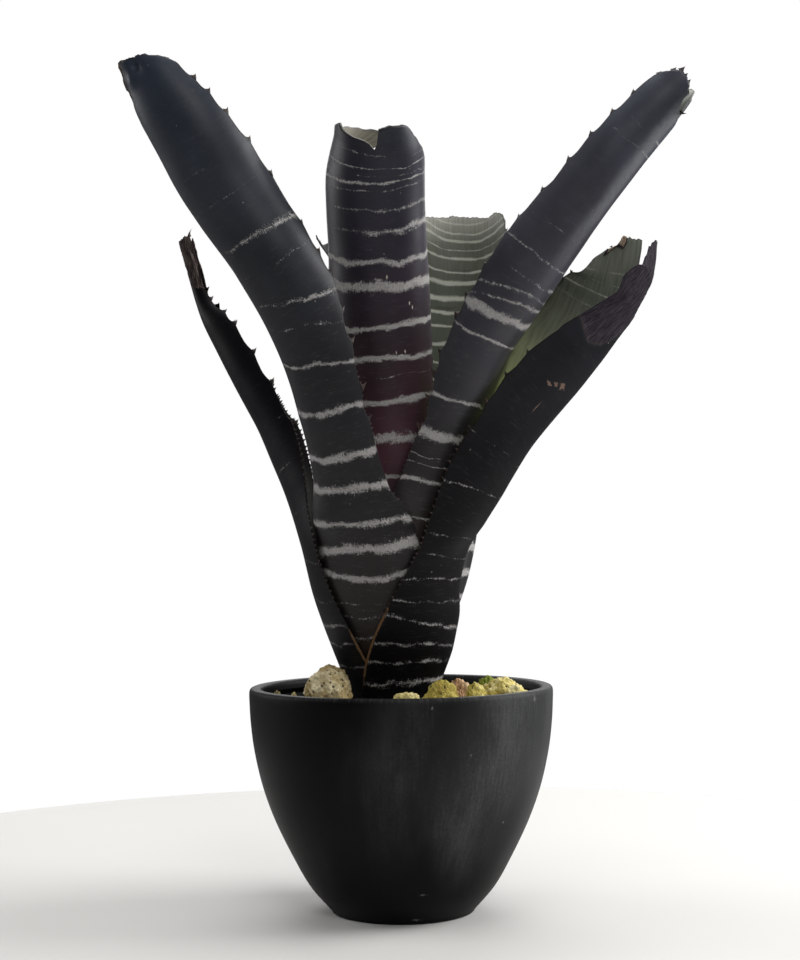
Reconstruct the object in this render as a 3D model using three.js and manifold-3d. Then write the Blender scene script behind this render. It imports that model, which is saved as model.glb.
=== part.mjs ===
// A dark zebra-banded bromeliad in a round black bowl pot, dressed with pumice stones.
// Millimetres, +Z up. The origin is the centre of the pot's flat base.
import * as THREE from 'three';
import { mergeVertices } from 'three/addons/utils/BufferGeometryUtils.js';
import Module from 'manifold-3d';

const wasm = await Module();
wasm.setup();

// Driving dimensions of the pot
const potHeight = 117;
const rimRadius = 80;
const mouthRadius = 73.5;
const baseRadius = 38;
const wallThickness = 3;
const lipDepth = 4.5;
const floorThickness = 4;
const drainRadius = 3.5;
const drainCircle = 22;
const drainCount = 4;
const drainSides = 12;
const lipRound = 1.5;
const footRound = 1.2;
const potSides = 40;

// Soil, stem and the gap that touching pieces keep
const soilTop = 104;
const stemRadius = 19;
const stemFoot = 70;
const stemCentre = -3;
const stemSides = 24;
const seatGap = 0.3;
const soilGap = 0.45;
const soilDip = 0.3;

// Heights at which the pot's wall and the soil's side have a ring
const wallHeights = [12, 38, 74, soilTop];

// The leaves share one vase-shaped wrap at their base, one inside the other
const leafFoot = 101;
const layerStep = 2;
const sheathThickness = 0.9;
const bladeThickness = 1.3;
const marginThickness = 0.7;
const rowSpacing = 13.5;
const spineLength = 2.4;
const spineHalfRoot = 1.5;
const spineRise = 1.4;
const spineSkip = 4;
const wrapTop = 165;
const bladeFree = 230;
const curveSteps = 400;
const narrowestTip = 0.25;
const vaseHeights = [100, 104, 111, 121, 133, 147, 159, 176, 190];
const vaseRadii = [17, 18.8, 22.4, 25.8, 30.6, 35.6, 39, 41.7, 44];
const leanHeights = [121, 133, 147, 159, 176, 186];
const leanOffsets = [-3, -3.1, -4.4, -6.4, -9.3, -9.8];

// The pot's outer outline, as radius and height
const bowlOutline = [[baseRadius, footRound], [49, 14], [58.1, 30], [66.8, 48]];
bowlOutline.push([73.1, 65.5], [77.3, 83.5], [79.3, 99], [rimRadius, 112]);

// Each leaf, from the outermost inward. A sheath station is height, facing in degrees
// and half the angle that it wraps. A blade station is the midrib's x, y and z, facing,
// width laid flat, wrapped angle and, where it is not 1, how deep the channel is.
const leaves = [
  {
    name: 'leaf_right', layer: 0, tip: 14, columns: 12, spineFrom: [265, 250],
    sheath: [
      [101, -20, 140], [110, -20, 126], [121, -20, 110], [136, -31, 83], [152, -44, 53], [168, -43, 37],
    ],
    blade: [
      [29, -25, 185, -32, 52, 68], [41, -29, 201, -27, 62, 112], [53, -30, 219, -20, 74, 142],
      [73, -28, 247, -8, 80, 160, 1.1], [97, -18, 276, 10, 80, 170, 1.2], [116, -6, 305, 28, 78, 164, 1.3],
      [128, 0, 324, 38, 72, 158, 1.3], [134, 1, 338, 42, 60, 148, 1.25], [136, 0, 350, 42, 46, 134, 1.15],
    ],
  },
  {
    name: 'leaf_left', layer: 1, tip: 14, columns: 10, spineFrom: [240, 235],
    sheath: [[101, 176, 92], [110, 176, 90], [121, 176, 80], [136, 176, 66], [152, 176, 56], [168, 176, 48]],
    blade: [
      [-52, 0, 192, 176, 57, 84], [-60, 3, 219, 176, 54, 106], [-73, 7, 252, 173, 54, 145],
      [-88, 11, 281, 170, 50, 170], [-103, 15, 311, 170, 44, 185], [-113, 17, 337, 170, 36, 200],
      [-116, 18, 353, 170, 30, 210],
    ],
  },
  {
    name: 'leaf_front_left', layer: 2, tip: 12, columns: 12, spineFrom: [250, 225],
    sheath: [[101, 255, 95], [110, 255, 93], [121, 254, 88], [136, 254, 72], [152, 253, 60], [168, 252, 54]],
    blade: [
      [-21, -44, 193, 251, 64, 106], [-25, -49, 208, 248, 64, 118], [-29, -54, 225, 243, 62, 140],
      [-38, -63, 254, 238, 60, 140], [-51, -73, 289, 234, 61, 150], [-72, -85, 327, 231, 61, 160],
      [-95, -95, 365, 230, 63, 160], [-111, -103, 394, 230, 61, 155], [-123, -106, 411, 232, 48, 140],
      [-128, -106, 418, 234, 32, 120],
    ],
  },
  {
    name: 'leaf_back_right', layer: 3, tip: 9, columns: 12, spineFrom: [300, 300],
    sheath: [[101, 50, 100], [110, 50, 98], [121, 48, 95], [136, 46, 92], [148, 46, 88]],
    blade: [
      [23, 29, 160, 47, 80, 165], [29, 33, 173, 45, 74, 162], [33, 38, 186, 45, 68, 156],
      [35, 43, 199, 48, 66, 148], [37, 52, 217, 58, 62, 134], [38, 62, 240, 66, 62, 124],
      [39, 76, 275, 72, 63, 118], [40, 88, 310, 74, 64, 112], [41, 99, 348, 75, 64, 106],
      [41, 108, 388, 76, 62, 98],
    ],
  },
  {
    name: 'leaf_front_right', layer: 4, tip: 16, columns: 12, spineFrom: [240, 260],
    sheath: [[101, 312, 100], [110, 312, 92], [121, 312, 86], [136, 312, 76], [152, 311, 68], [168, 310, 60]],
    blade: [
      [16, -33, 191, 308, 56, 92], [23, -38, 219, 305, 54, 122], [32, -44, 249, 302, 52, 138],
      [47, -55, 286, 300, 52, 148], [65, -65, 314, 299, 56, 160], [88, -75, 348, 298, 54, 172],
      [114, -85, 381, 298, 50, 172], [133, -90, 400, 300, 44, 160], [141, -92, 408, 302, 38, 150],
    ],
  },
  {
    name: 'leaf_back', layer: 5, tip: 14, columns: 10, spineFrom: [260, 260],
    sheath: [[101, 125, 100], [110, 125, 92], [121, 125, 86], [136, 124, 76], [152, 122, 66], [168, 118, 56]],
    blade: [
      [-18, 32, 190, 116, 52, 88], [-18, 42, 216, 112, 46, 110], [-21, 54, 262, 108, 48, 125],
      [-25, 68, 309, 106, 48, 135], [-30, 84, 347, 106, 46, 140], [-34, 96, 370, 106, 40, 140],
    ],
  },
  {
    name: 'leaf_centre', layer: 6, tip: 8, columns: 12, spineFrom: [330, 330],
    sheath: [
      [101, 262, 110], [110, 262, 105], [121, 264, 100], [136, 266, 94], [152, 267, 85], [168, 268, 76],
    ],
    blade: [
      [-5, -30, 194, 268, 60, 118], [-5, -33, 230, 268, 64, 140], [-7, -39, 265, 268, 72, 158],
      [-9, -50, 304, 268, 80, 178], [-10, -63, 337, 268, 84, 195], [-11, -78, 367, 268, 84, 200],
      [-10, -88, 384, 268, 76, 205], [-10, -93, 391, 268, 66, 205],
    ],
  },
];

// The torn notch in the central leaf's tip, as x and z corners, cut through its front wall
const tearCorners = [[-27, 397], [-11, 377.5], [-7, 397]];
const tearFront = -104;
const tearDepth = 26;

// Where a stone's underside is cut flat, as a share of its half height
const stoneSeat = 0.72;

// Each pumice stone: centre x and y, then its size along x, y and z
const stones = [
  { name: 'pumice_left', at: [-38, -24], size: [25, 22, 25], detail: 2 },
  { name: 'pumice_left_small', at: [-55, -32], size: [9, 8, 12], detail: 1 },
  { name: 'pumice_left_edge', at: [-64, -18], size: [8, 8, 12], detail: 1 },
  { name: 'pumice_front', at: [3, -46], size: [20, 15, 14], detail: 1 },
  { name: 'pumice_right', at: [21, -40], size: [18, 16, 20], detail: 2 },
  { name: 'pumice_right_pink', at: [31, -13], size: [12, 12, 17], detail: 1 },
  { name: 'pumice_right_mid', at: [38, -38], size: [12, 12, 17], detail: 1 },
  { name: 'pumice_right_wide', at: [54, -23], size: [27, 21, 18], detail: 2 },
  { name: 'pumice_right_mossy', at: [46, -1], size: [13, 12, 16.5], detail: 1 },
];

const plasticBlack = { color: 0x232324, roughness: 0.55, metalness: 0 };
const soilBrown = { color: 0x1d1814, roughness: 1, metalness: 0 };
const stemBrown = { color: 0x5a4630, roughness: 0.8, metalness: 0 };
const leafBlack = { color: 0x25262b, roughness: 0.42, metalness: 0 };
const pumiceCream = { color: 0xb5aa82, roughness: 0.95, metalness: 0 };

const part = new THREE.Group();

function addMesh(name, geometry, look) {
  geometry.computeVertexNormals();
  const mesh = new THREE.Mesh(geometry, new THREE.MeshStandardMaterial(look));
  mesh.name = name;
  part.add(mesh);
  return mesh;
}

function geometryFrom(points, triangles) {
  const geometry = new THREE.BufferGeometry();
  geometry.setAttribute('position', new THREE.Float32BufferAttribute(points, 3));
  geometry.setIndex(triangles);
  return geometry;
}

// A closed geometry as a boolean solid, and back again
function toSolid(geometry) {
  const bare = geometry.clone();
  bare.deleteAttribute('normal');
  bare.deleteAttribute('uv');
  const merged = mergeVertices(bare, 1e-4);
  return new wasm.Manifold(new wasm.Mesh({
    numProp: 3,
    vertProperties: new Float32Array(merged.attributes.position.array),
    triVerts: new Uint32Array(merged.index.array),
  }));
}

function fromSolid(solid) {
  const mesh = solid.getMesh();
  return geometryFrom(Array.from(mesh.vertProperties), Array.from(mesh.triVerts));
}

// A lathe about +Z from radius and height pairs, which go up the outside
function turned(outline, sides) {
  const lathe = new THREE.LatheGeometry(outline.map(([r, z]) => new THREE.Vector2(r, z)), sides);
  lathe.rotateX(Math.PI / 2);
  return lathe;
}

function interpolate(at, keys, values) {
  if (at <= keys[0]) return values[0];
  for (let i = 1; i < keys.length; i++) {
    if (at <= keys[i]) {
      return THREE.MathUtils.mapLinear(at, keys[i - 1], keys[i], values[i - 1], values[i]);
    }
  }
  return values[values.length - 1];
}

// The radius of the pot's outside at a height
function bowlRadius(z) {
  return interpolate(z, bowlOutline.map((p) => p[1]), bowlOutline.map((p) => p[0]));
}

function innerRadius(z) {
  return bowlRadius(z) - wallThickness;
}

function makePot() {
  const shoulder = potHeight - lipDepth - wallThickness;
  const outside = [[0, 0], [baseRadius - footRound, 0], ...bowlOutline, [rimRadius, potHeight - lipRound]];
  const lip = [[rimRadius - lipRound, potHeight], [mouthRadius + lipRound, potHeight]];
  lip.push([mouthRadius, potHeight - lipRound]);
  const inside = [[mouthRadius, potHeight - lipDepth], [innerRadius(shoulder), shoulder]];
  for (const z of [...wallHeights].reverse()) inside.push([innerRadius(z), z]);
  inside.push([baseRadius - 1, floorThickness], [0, floorThickness]);
  let solid = toSolid(turned([...outside, ...lip, ...inside], potSides));
  for (let i = 0; i < drainCount; i++) {
    const angle = (i + 0.5) * (2 * Math.PI / drainCount);
    const drain = new THREE.CylinderGeometry(drainRadius, drainRadius, 4 * floorThickness, drainSides);
    drain.rotateX(Math.PI / 2);
    drain.translate(drainCircle * Math.cos(angle), drainCircle * Math.sin(angle), 0);
    solid = solid.subtract(toSolid(drain));
  }
  addMesh('pot', fromSolid(solid), plasticBlack);
}

// The soil fills the pot to just under its lip and has a plain hole for the stem
function makeSoil() {
  const underside = floorThickness + seatGap;
  const outline = [[0, underside], [baseRadius - 1 - soilGap, underside]];
  for (const z of wallHeights) outline.push([innerRadius(z) - soilGap, z]);
  outline.push([62, soilTop - soilDip], [48, soilTop], [34, soilTop - soilDip], [0, soilTop]);
  const bore = stemRadius + 1.2 * seatGap;
  const above = soilTop + 5;
  const bottom = stemFoot - seatGap;
  const hole = turned([[0, bottom], [bore, bottom], [bore, above], [0, above]], stemSides);
  hole.translate(stemCentre, 0, 0);
  const filled = toSolid(turned(outline, potSides));
  addMesh('potting_mix', fromSolid(filled.subtract(toSolid(hole))), soilBrown);
}

function makeStem() {
  const top = leafFoot - seatGap;
  const outline = [[0, stemFoot], [stemRadius - 3, stemFoot], [stemRadius, stemFoot + 3]];
  outline.push([stemRadius, top - 4], [stemRadius - 2.5, top], [0, top]);
  addMesh('stem', turned(outline, stemSides), stemBrown).position.x = stemCentre;
}

// A repeatable draw from 0 to 1
function randomFrom(seed) {
  let state = seed;
  return () => {
    state = (state * 16807) % 2147483647;
    return state / 2147483647;
  };
}

// A lumpy stone with a flat seat on the soil
function makeStone(stone, index) {
  const draw = randomFrom(4271 + 97 * index);
  const waves = [];
  for (let i = 0; i < 5; i++) {
    const direction = new THREE.Vector3(draw() - 0.5, draw() - 0.5, draw() - 0.5).normalize();
    waves.push({ direction, pace: 2 + 3 * draw(), phase: 6 * draw(), depth: 0.035 + 0.03 * draw() });
  }
  const bare = new THREE.IcosahedronGeometry(1, stone.detail);
  bare.deleteAttribute('normal');
  bare.deleteAttribute('uv');
  const lump = mergeVertices(bare, 1e-4);
  const place = lump.attributes.position;
  const point = new THREE.Vector3();
  const [width, length, height] = stone.size;
  for (let i = 0; i < place.count; i++) {
    point.fromBufferAttribute(place, i);
    const swell = waves.reduce((sum, wave) => {
      return sum + wave.depth * Math.sin(wave.pace * point.dot(wave.direction) + wave.phase);
    }, 0.97);
    point.multiplyScalar(swell);
    const rise = Math.max(point.z, -stoneSeat) + stoneSeat;
    place.setXYZ(i, stone.at[0] + point.x * width / 2, stone.at[1] + point.y * length / 2,
      soilTop + seatGap + rise * height / (1 + stoneSeat));
  }
  addMesh(stone.name, lump, pumiceCream);
}

// One leaf's stations in millimetres and degrees: x, y, z, facing, width, wrap and depth
function stationsOf(leaf) {
  const rows = leaf.sheath.map(([z, facing, half]) => {
    const radius = interpolate(z, vaseHeights, vaseRadii) - leaf.layer * layerStep;
    const lean = interpolate(z, leanHeights, leanOffsets);
    const angle = THREE.MathUtils.degToRad(facing);
    const width = 2 * radius * THREE.MathUtils.degToRad(half);
    return [lean + radius * Math.cos(angle), radius * Math.sin(angle), z, facing, width, 2 * half, 1];
  });
  for (const station of leaf.blade) rows.push(station.length === 7 ? station : [...station, 1]);
  return rows;
}

// A smooth run through the stations, where at counts stations from the foot
function between(rows, at) {
  const i = Math.min(Math.floor(at), rows.length - 2);
  const t = at - i;
  return rows[i].map((start, k) => {
    const end = rows[i + 1][k];
    const before = i > 0 ? rows[i - 1][k] : 2 * start - end;
    const after = i + 2 < rows.length ? rows[i + 2][k] : 2 * end - start;
    return 0.5 * (2 * start + (end - before) * t + (2 * before - 5 * start + 4 * end - after) * t * t
      + (3 * start - before - 3 * end + after) * t * t * t);
  });
}

// The rows of a leaf: where each is, its frame, and its share of the full wrap at the tip
function rowsOf(leaf) {
  const stations = stationsOf(leaf);
  const fine = [];
  for (let i = 0; i <= curveSteps; i++) fine.push(between(stations, i / curveSteps * (stations.length - 1)));
  const along = [0];
  for (let i = 1; i < fine.length; i++) {
    const step = [0, 1, 2].map((k) => fine[i][k] - fine[i - 1][k]);
    along.push(along[i - 1] + Math.hypot(...step));
  }
  const length = along[along.length - 1];
  const body = length - leaf.tip;
  const count = Math.round(body / rowSpacing);
  const places = [];
  for (let i = 0; i <= count; i++) places.push(i / count * body);
  for (const share of [0.55, 0.85, 1]) places.push(body + share * leaf.tip);
  const counts = fine.map((_, i) => i / curveSteps * (stations.length - 1));
  const pick = (s) => between(stations, interpolate(s, along, counts));
  return places.map((s) => {
    const [x, y, z, facing, width, wrap, depth] = pick(s);
    const a = pick(Math.max(0, s - 1));
    const b = pick(Math.min(length, s + 1));
    const tangent = new THREE.Vector3(b[0] - a[0], b[1] - a[1], b[2] - a[2]).normalize();
    const freed = THREE.MathUtils.smoothstep(z, wrapTop, bladeFree);
    const up = new THREE.Vector3(0, 0, 1 - freed).addScaledVector(tangent, freed).normalize();
    const angle = THREE.MathUtils.degToRad(facing);
    const out = new THREE.Vector3(Math.cos(angle), Math.sin(angle), 0);
    out.addScaledVector(up, -out.dot(up)).normalize();
    const side = new THREE.Vector3().crossVectors(up, out);
    const left = Math.max(0, length - s);
    const round = Math.sqrt(1 - Math.max(0, 1 - left / leaf.tip) ** 2);
    const share = Math.max(narrowestTip, round);
    const full = THREE.MathUtils.degToRad(wrap);
    return {
      middle: new THREE.Vector3(x, y, z), up, out, side, depth,
      radius: width / full, half: full / 2 * share, along: s,
      thickness: THREE.MathUtils.lerp(sheathThickness, bladeThickness, freed),
    };
  });
}

// A point on a row: q runs from -1 to 1 across the leaf, inward is the depth below the outer face
function pointOn(row, q, inward) {
  const angle = q * row.half;
  const radius = row.radius - inward;
  return row.middle.clone()
    .addScaledVector(row.out, (radius * Math.cos(angle) - row.radius) * row.depth)
    .addScaledVector(row.side, radius * Math.sin(angle));
}

// Collects points and triangles; flip turns a face over
function meshDraft() {
  const points = [];
  const triangles = [];
  return {
    add: (p) => points.push(p.x, p.y, p.z) / 3 - 1,
    face: (a, b, c, flip) => (flip ? triangles.push(a, c, b) : triangles.push(a, b, c)),
    vertex: (k) => new THREE.Vector3().fromArray(points, 3 * k),
    geometry: () => geometryFrom(points, triangles),
  };
}

// The stretch of margin between two rows, with nothing on it
function plainEdge(draft, outer, inner, i, edge, next, flip) {
  draft.face(outer[i][edge], outer[i + 1][edge], outer[i + 1][next], flip);
  draft.face(outer[i][edge], outer[i + 1][next], outer[i][next], flip);
  draft.face(inner[i][edge], inner[i + 1][edge], inner[i + 1][next], !flip);
  draft.face(inner[i][edge], inner[i + 1][next], inner[i][next], !flip);
  draft.face(outer[i][edge], inner[i][edge], inner[i + 1][edge], flip);
  draft.face(outer[i][edge], inner[i + 1][edge], outer[i + 1][edge], flip);
}

// The same stretch with a hooked spine growing out of the margin
function spinyEdge(draft, outer, inner, i, edge, next, flip, spine) {
  const onEdge = (skin, offset) => {
    return draft.vertex(skin[i][edge]).lerp(draft.vertex(skin[i + 1][edge]), spine.share + offset);
  };
  const root = [
    onEdge(outer, -spine.halfRoot), onEdge(outer, spine.halfRoot),
    onEdge(inner, spine.halfRoot), onEdge(inner, -spine.halfRoot),
  ];
  const away = draft.vertex(outer[i][edge]).sub(draft.vertex(outer[i][next])).normalize();
  const apex = new THREE.Vector3();
  root.forEach((corner) => apex.addScaledVector(corner, 1 / root.length));
  apex.addScaledVector(away, spine.length).addScaledVector(spine.up, spineRise);
  const [lowOut, highOut, highIn, lowIn] = root.map(draft.add);
  const peak = draft.add(apex);
  for (const [skin, low, high, over] of [[outer, lowOut, highOut, !flip], [inner, lowIn, highIn, flip]]) {
    draft.face(skin[i][next], low, skin[i][edge], over);
    draft.face(skin[i][next], high, low, over);
    draft.face(skin[i][next], skin[i + 1][next], high, over);
    draft.face(skin[i + 1][next], skin[i + 1][edge], high, over);
  }
  draft.face(outer[i][edge], inner[i][edge], lowIn, flip);
  draft.face(outer[i][edge], lowIn, lowOut, flip);
  draft.face(highOut, highIn, inner[i + 1][edge], flip);
  draft.face(highOut, inner[i + 1][edge], outer[i + 1][edge], flip);
  const ring = [lowOut, lowIn, highIn, highOut];
  ring.forEach((corner, k) => draft.face(corner, ring[(k + 1) % ring.length], peak, flip));
}

// A channelled blade, closed all round, with a row of hooked spines along each margin
function leafGeometry(leaf, index) {
  const rows = rowsOf(leaf);
  const last = rows.length - 1;
  const draft = meshDraft();
  const [outer, inner] = [0, 1].map((skin) => rows.map((row) => {
    const line = [];
    for (let j = 0; j <= leaf.columns; j++) {
      const q = 2 * j / leaf.columns - 1;
      const thickness = THREE.MathUtils.lerp(row.thickness, marginThickness, Math.abs(q) ** 3);
      line.push(draft.add(pointOn(row, q, skin * thickness)));
    }
    return line;
  }));
  for (let i = 0; i < last; i++) {
    for (let j = 1; j < leaf.columns - 1; j++) {
      for (const [skin, flip] of [[outer, false], [inner, true]]) {
        draft.face(skin[i][j], skin[i][j + 1], skin[i + 1][j + 1], flip);
        draft.face(skin[i][j], skin[i + 1][j + 1], skin[i + 1][j], flip);
      }
    }
  }
  for (const [i, flip] of [[0, false], [last, true]]) {
    for (let j = 0; j < leaf.columns; j++) {
      draft.face(outer[i][j + 1], outer[i][j], inner[i][j], flip);
      draft.face(outer[i][j + 1], inner[i][j], inner[i][j + 1], flip);
    }
  }
  const draw = randomFrom(31 + 7 * index);
  for (const [margin, edge, next] of [[0, 0, 1], [1, leaf.columns, leaf.columns - 1]]) {
    const flip = margin === 0;
    for (let i = 0; i < last; i++) {
      const step = rows[i + 1].along - rows[i].along;
      const spiny = rows[i].middle.z > leaf.spineFrom[margin] && i % spineSkip !== spineSkip - 1;
      if (!spiny || step < 4 * spineHalfRoot) {
        plainEdge(draft, outer, inner, i, edge, next, flip);
        continue;
      }
      const spine = {
        share: 0.35 + 0.3 * draw(), length: spineLength * (0.8 + 0.4 * draw()),
        halfRoot: spineHalfRoot / step, up: rows[i].up,
      };
      spinyEdge(draft, outer, inner, i, edge, next, flip, spine);
    }
  }
  return draft.geometry();
}

// A wedge through the front wall of the central leaf
function tearWedge() {
  const corners = tearCorners.map(([x, z]) => new THREE.Vector2(x, z));
  const outline = new THREE.Shape(corners);
  const wedge = new THREE.ExtrudeGeometry(outline, { depth: tearDepth, bevelEnabled: false });
  wedge.rotateX(Math.PI / 2);
  wedge.translate(0, tearFront + tearDepth, 0);
  return toSolid(wedge);
}

function makeLeaf(leaf, index) {
  let geometry = leafGeometry(leaf, index);
  if (leaf.name === 'leaf_centre') geometry = fromSolid(toSolid(geometry).subtract(tearWedge()));
  addMesh(leaf.name, geometry, leafBlack);
}

makePot();
makeSoil();
makeStem();
stones.forEach(makeStone);
leaves.forEach(makeLeaf);

export default part;
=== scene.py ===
import math

import bmesh
import bpy
import numpy as np
from mathutils import Matrix, Vector, noise


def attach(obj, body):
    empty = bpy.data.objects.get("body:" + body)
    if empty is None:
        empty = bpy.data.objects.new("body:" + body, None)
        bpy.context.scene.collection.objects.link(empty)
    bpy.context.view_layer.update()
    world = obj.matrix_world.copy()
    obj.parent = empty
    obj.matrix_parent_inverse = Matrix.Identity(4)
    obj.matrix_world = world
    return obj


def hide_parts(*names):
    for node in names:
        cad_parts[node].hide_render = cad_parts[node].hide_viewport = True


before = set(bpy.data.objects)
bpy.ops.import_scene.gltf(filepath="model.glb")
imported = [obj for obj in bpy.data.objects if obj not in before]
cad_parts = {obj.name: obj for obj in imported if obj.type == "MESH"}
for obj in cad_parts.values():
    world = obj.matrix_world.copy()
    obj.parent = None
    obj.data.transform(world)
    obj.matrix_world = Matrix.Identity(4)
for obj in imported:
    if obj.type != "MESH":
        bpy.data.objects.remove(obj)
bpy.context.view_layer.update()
print("frame loaded:", len(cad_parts), "solids")

mm = 0.001
scene = bpy.context.scene


# Shader values: an expression on a Flow adds its Math nodes
class Flow:
    def __init__(self, finish, socket):
        self.finish, self.socket = finish, socket

    def maths(self, operation, *values):
        return self.finish.node("Math", {"operation": operation}, dict(enumerate(values)))

    def __add__(self, other):
        return self.maths("ADD", self, other)

    def __sub__(self, other):
        return self.maths("SUBTRACT", self, other)

    def __rsub__(self, other):
        return self.maths("SUBTRACT", other, self)

    def __mul__(self, other):
        return self.maths("MULTIPLY", self, other)

    def __abs__(self):
        return self.maths("ABSOLUTE", self)

    def atLeast(self, other):
        return self.maths("MAXIMUM", self, other)

    def rising(self, low, high):  # 0 below low, 1 above high, smooth between
        limits = {"Value": self, "From Min": low, "From Max": high}
        return self.finish.node("MapRange", {"interpolation_type": "SMOOTHSTEP"}, limits)

    __radd__ = __add__
    __rmul__ = __mul__


def rgb(code):  # a colour as hex digits, made linear
    parts = [int(code[k:k + 2], 16) / 255 for k in (0, 2, 4)]
    return tuple(p / 12.92 if p < 0.04045 else ((p + 0.055) / 1.055) ** 2.4 for p in parts) + (1.0,)


# A material, or the world, and the nodes that it is made of
class Finish:
    def __init__(self, holder):
        holder.use_nodes = True
        self.holder, self.tree = holder, holder.node_tree
        self.tree.nodes.clear()

    def node(self, kind, settings=None, values=None, take=0):  # take says which outputs come back
        made = self.tree.nodes.new("ShaderNode" + kind)
        for key, value in (settings or {}).items():
            if key == "stops":
                ramp = made.color_ramp.elements
                for place, _ in value[1:-1]:
                    ramp.new(place)
                for k, (place, colour) in enumerate(value):
                    ramp[k].position, ramp[k].color = place, colour
            else:
                setattr(made, key, value)
        for key, value in (values or {}).items():
            if isinstance(value, Flow):
                self.tree.links.new(value.socket, made.inputs[key])
            else:
                made.inputs[key].default_value = value
        outputs = [Flow(self, socket) for socket in made.outputs] or [None]
        return outputs[take] if isinstance(take, int) else [outputs[k] for k in take]

    def mixed(self, share, first, second):  # either colour may be hex digits
        first, second = (rgb(c) if isinstance(c, str) else c for c in (first, second))
        settings = {"data_type": "RGBA", "clamp_factor": True}
        return self.node("Mix", settings, {0: share, 6: first, 7: second}, take=2)

    def ramp(self, place, stops):
        return self.node("ValToRGB", {"stops": [(at, rgb(code)) for at, code in stops]}, {0: place})

    def where(self):  # a point's place on its piece, in metres
        return self.node("TexCoord", take=3)

    def vector(self, x, y, z=0.0):
        return self.node("CombineXYZ", {}, {0: x, 1: y, 2: z})

    def split(self, vector):
        return self.node("SeparateXYZ", {}, {0: vector}, take=(0, 1, 2))

    def grain(self, where, scale=1.0, detail=2.0, rough=0.5):
        values = {"Vector": where, "Scale": scale, "Detail": detail, "Roughness": rough}
        return self.node("TexNoise", {}, values)

    def cells(self, where, scale=1.0):
        return self.node("TexVoronoi", {}, {"Vector": where, "Scale": scale})

    def bump(self, height, strength, distance):
        return self.node("Bump", {}, {"Height": height, "Strength": strength, "Distance": distance})

    def surface(self, colour, roughness, normal=None, gloss=0.5):
        values = {"Base Color": colour, "Roughness": roughness, "Specular IOR Level": gloss}
        if normal:
            values["Normal"] = normal
        shader = self.node("BsdfPrincipled", {}, values)
        self.node("OutputMaterial", {}, {"Surface": shader})
        return self.holder


def finishCalled(name):
    return Finish(bpy.data.materials.new(name))


def spotField(x, y, spots, speckle):  # ragged marks at told places, each with its half sizes
    field = None
    for atX, atY, wide, high in spots:
        tent = 1 - abs(x - atX) * (1 / wide) - abs(y - atY) * (1 / high)
        field = tent if field is None else field.atLeast(tent)
    return (field + speckle).rising(0, 0.3)


# Meshes: points are in metres and every piece is smooth shaded
def pieceFrom(name, points, faces, materials, slots=None):
    mesh = bpy.data.meshes.new(name)
    mesh.from_pydata([tuple(p) for p in points], [], [tuple(f) for f in faces])
    mesh.polygons.foreach_set("use_smooth", [True] * len(mesh.polygons))
    for material in materials:
        mesh.materials.append(material)
    if slots is not None:
        mesh.polygons.foreach_set("material_index", slots)
    mesh.update()
    piece = bpy.data.objects.new(name, mesh)
    scene.collection.objects.link(piece)
    return piece


def noteOn(piece, name, values):  # a number or a vector for each point, which the finish reads
    kind, key = ("FLOAT", "value") if values.ndim == 1 else ("FLOAT_VECTOR", "vector")
    layer = piece.data.attributes.new(name, kind, "POINT")
    layer.data.foreach_set(key, values.astype(np.float32).ravel())


def settle(piece, slotName, *nodes):
    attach(piece, "root")
    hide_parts(*nodes)


def ballOf(fine):  # points and faces of a ball of radius 1
    mesh = bmesh.new()
    bmesh.ops.create_icosphere(mesh, subdivisions=fine, radius=1)
    points = np.array([v.co for v in mesh.verts])
    faces = [[v.index for v in face.verts] for face in mesh.faces]
    mesh.free()
    return points, faces


def tubeFaces(first, rings, sides, closed=True):
    # the faces over rings of points that follow each other, and over the first and last ring
    faces = []
    for k in range(rings - 1):
        for j in range(sides):
            a, b = first + k * sides + j, first + k * sides + (j + 1) % sides
            faces.append((a, b, b + sides, a + sides))
    if closed:
        last = first + (rings - 1) * sides
        faces.append(tuple(range(first + sides - 1, first - 1, -1)))
        faces.append(tuple(range(last, last + sides)))
    return faces


def turnedMesh(outline, sides, closed=True):  # radius and height pairs turned about the upright axis
    turn = 2 * np.pi * np.arange(sides) / sides
    ring = np.stack([np.cos(turn), np.sin(turn)], -1)
    points = np.array([(r * x, r * y, z) for r, z in np.array(outline, float) for x, y in ring])
    return points, tubeFaces(0, len(outline), sides, closed)


def smoothstep(value, low, high):
    t = np.clip((value - low) / (high - low), 0, 1)
    return t * t * (3 - 2 * t)


def lineAt(pairs, at):  # the height of a bent line, told as pairs of place and height
    return np.interp(at, *zip(*pairs))


def unit(vectors):
    return vectors / np.maximum(np.linalg.norm(vectors, axis=-1, keepdims=True), 1e-9)


def noiseAt(points, scale, seed=0.0):  # smooth noise from about -1 to 1 for each point
    shifted = points * scale + seed
    return np.array([noise.noise(Vector(p)) for p in shifted])


def pitsAt(points, scale, seed=0.0):  # distance to the nearest of many scattered spots
    shifted = points * scale + seed
    return np.array([noise.voronoi(Vector(p))[0][0] for p in shifted])


def between(rows, at):  # a smooth run through rows of numbers, read at counts that need not be whole
    i = np.minimum(at.astype(int), len(rows) - 2)
    t = (at - i)[:, None]
    padded = np.vstack([2 * rows[0] - rows[1], rows, 2 * rows[-1] - rows[-2]])
    before, start, end, after = (padded[i + k] for k in range(4))
    bend = 2 * before - 5 * start + 4 * end - after
    twist = 3 * start - before - 3 * end + after
    return 0.5 * (2 * start + (end - before) * t + bend * t * t + twist * t ** 3)


# The camera stands where the photograph was taken from
cameraPlace = {"at": (0.0006, -0.870, 0.1905), "pitch": 2.32, "roll": 0.6, "lens": 61.425}


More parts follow.
